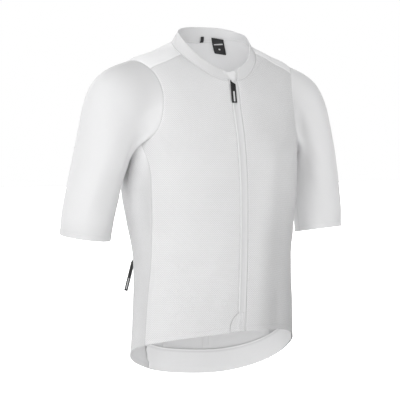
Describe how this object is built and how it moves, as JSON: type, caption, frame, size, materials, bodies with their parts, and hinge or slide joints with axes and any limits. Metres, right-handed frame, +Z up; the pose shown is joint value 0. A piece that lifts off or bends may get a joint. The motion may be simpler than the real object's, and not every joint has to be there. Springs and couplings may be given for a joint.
{
  "type": "cycling jersey",
  "caption": "Short-sleeved close-fitting cycling jersey with a covered full-length zip, low stand collar, dropped tail and rear pockets, filled out as worn and hollow.",
  "frame": {"origin": "on the centre plane, at the height where the shoulders meet the neck", "axes": "+Z up along the wearer's spine, -Y towards the wearer's front and the zip, +X towards the wearer's left"},
  "size_m": [0.6338, 0.2302, 0.688],
  "materials": {
    "mesh_cloth": "matt perforated knit",
    "stretch_cloth": "smooth stretch knit",
    "side_cloth": "matt open mesh",
    "elastic": "ribbed elastic band",
    "black_tape": "bonded black tape",
    "white_moulding": "satin white"
  },
  "bodies": {
    "jersey": {"front_left": "mesh_cloth", "front_right": "mesh_cloth", "side_left": "side_cloth", "side_right": "side_cloth", "back": "stretch_cloth", "back_pockets": "stretch_cloth", "sleeve_left": "stretch_cloth", "sleeve_right": "stretch_cloth", "collar": "stretch_cloth", "zip_strip": "white_moulding", "zip_end_left": "white_moulding", "zip_end_right": "white_moulding", "zip_guard": "stretch_cloth", "zip_base_tab": "mesh_cloth", "zip_slider": "white_moulding", "hem_gripper": "elastic", "pocket_zip": "white_moulding", "pocket_slider": "white_moulding", "neck_label": "black_tape", "hang_loop": "black_tape"},
    "zip_pull": {"zip_pull": "black_tape"},
    "pocket_pull": {"pocket_pull": "black_tape"}
  },
  "joints": [
    {"name": "zip_pull_flip", "type": "hinge", "parent": "jersey", "child": "zip_pull", "pos_m": [-0.00936, -0.07025, -0.07381], "axis": [-0.9984, 0.0559, 0.0092], "range_deg": [0, 140]},
    {"name": "pocket_pull_flip", "type": "hinge", "parent": "jersey", "child": "pocket_pull", "pos_m": [-0.13487, 0.07425, -0.40892], "axis": [0.8258, 0.5626, -0.0403], "range_deg": [-8, 140]}
  ]
}
